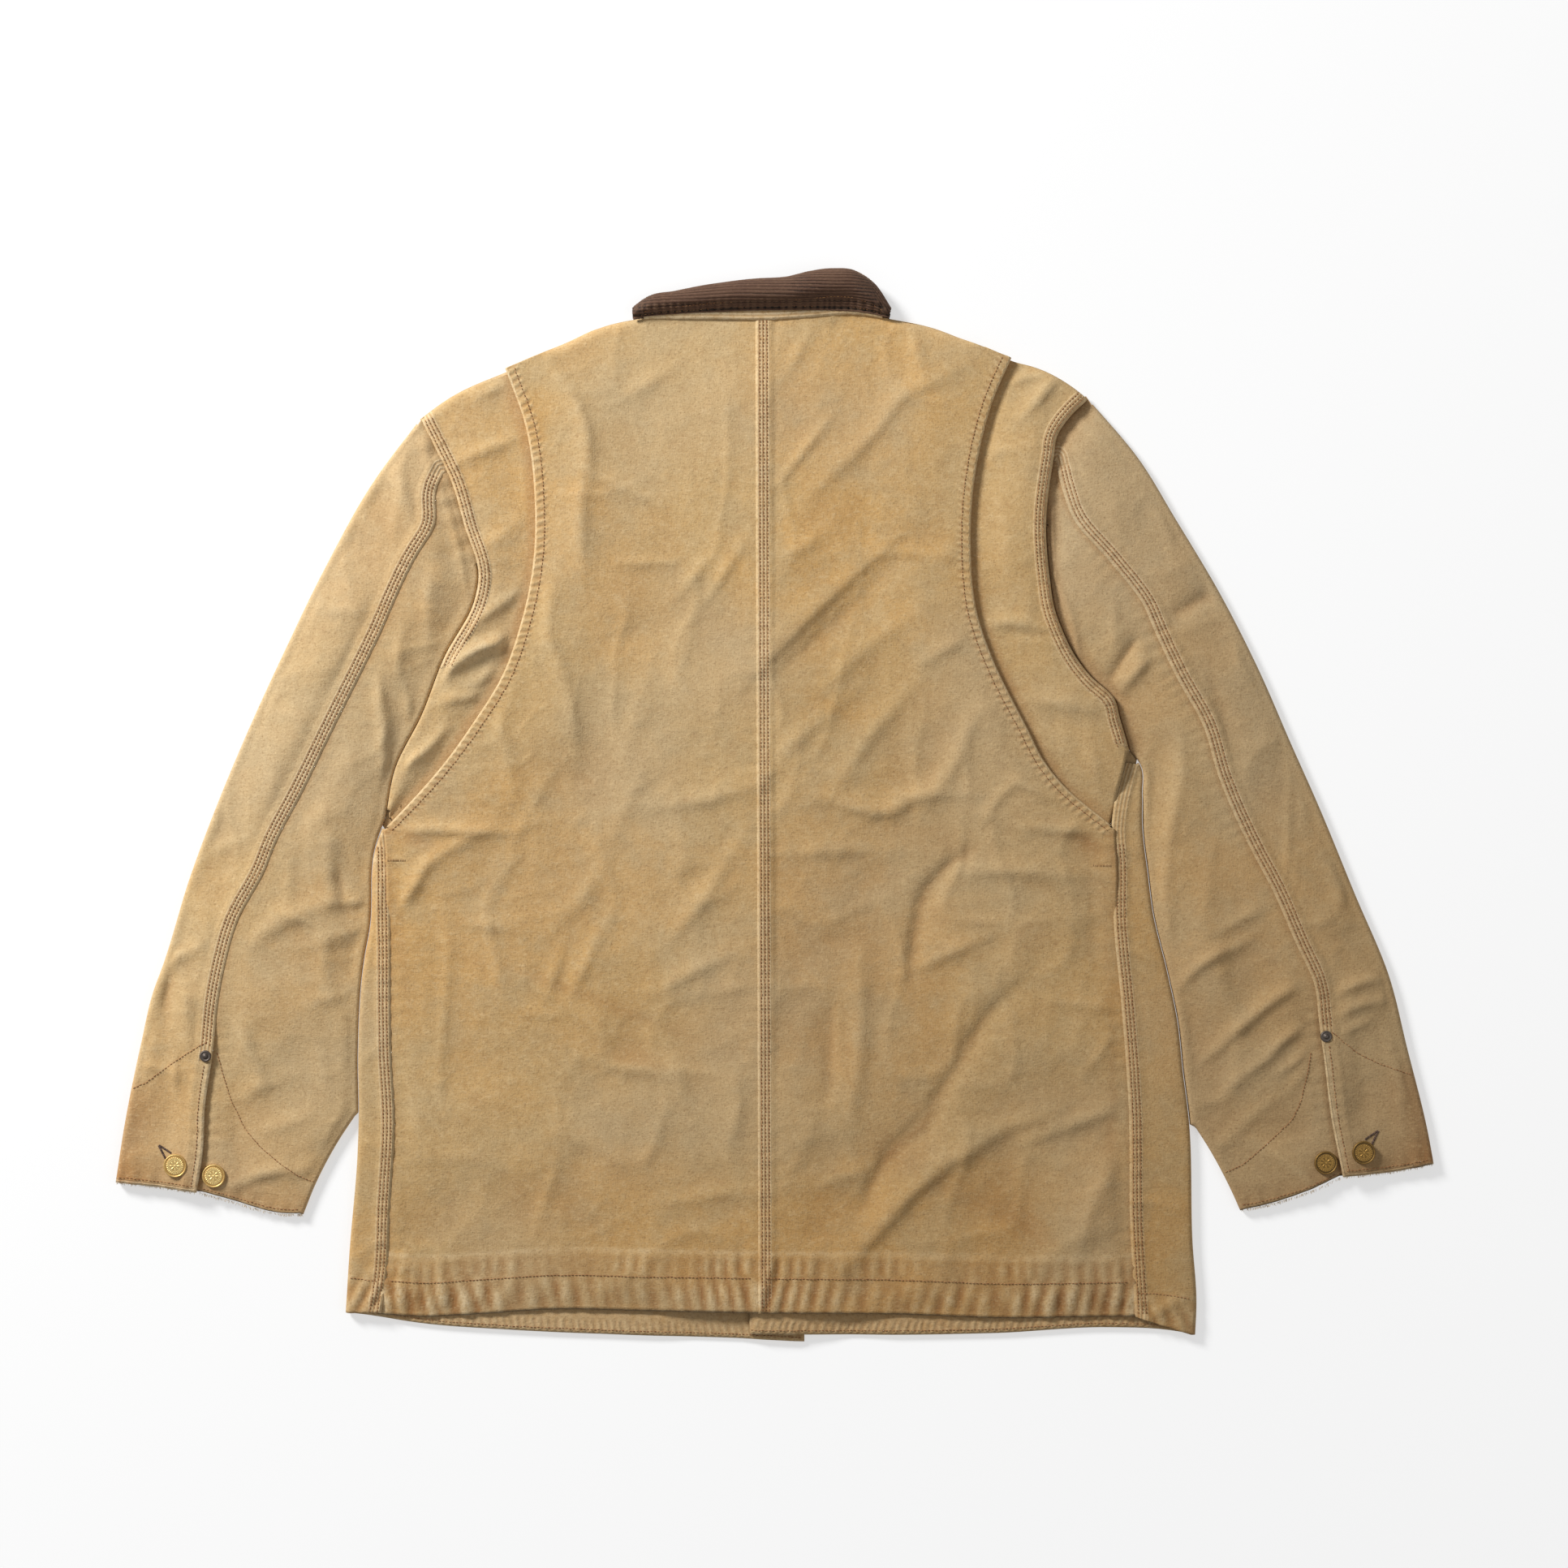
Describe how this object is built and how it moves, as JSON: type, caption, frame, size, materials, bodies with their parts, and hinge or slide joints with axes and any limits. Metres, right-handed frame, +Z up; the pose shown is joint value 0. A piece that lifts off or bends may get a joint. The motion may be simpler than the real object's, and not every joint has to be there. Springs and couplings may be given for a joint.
{
  "type": "canvas work coat",
  "caption": "Worn canvas work coat with a corduroy collar, pleated back panels and slit cuffs with buttons and rivets, laid flat face down.",
  "frame": {"origin": "centre of the bounding box on the surface that the coat lies on", "axes": "+X to the viewer's right across the sleeves, +Y from the hem to the collar, +Z up out of the coat's back"},
  "size_m": [1.0062, 0.8181, 0.022],
  "materials": {
    "canvas": "worn tan duck canvas, faded at seams and edges",
    "corduroy": "dark brown corduroy with fine wales",
    "brass": "worn brass",
    "dark_metal": "dark antique finish"
  },
  "bodies": {
    "root": {"front_left": "canvas", "front_right": "canvas", "side_back_left": "canvas", "side_back_right": "canvas", "back_left": "canvas", "back_right": "canvas", "top_sleeve_left": "canvas", "top_sleeve_right": "canvas", "under_sleeve_left": "canvas", "under_sleeve_right": "canvas", "collar": "corduroy", "collar_stand": "canvas", "collar_front_left": "corduroy", "collar_front_right": "corduroy", "cuff_button_left_outer": "brass", "cuff_button_left_inner": "brass", "cuff_button_right_outer": "brass", "cuff_button_right_inner": "brass", "rivet_left": "dark_metal", "rivet_right": "dark_metal", "closing_button_1": "brass", "closing_button_2": "brass", "closing_button_3": "brass", "closing_button_4": "brass", "closing_button_5": "brass"}
  },
  "joints": []
}
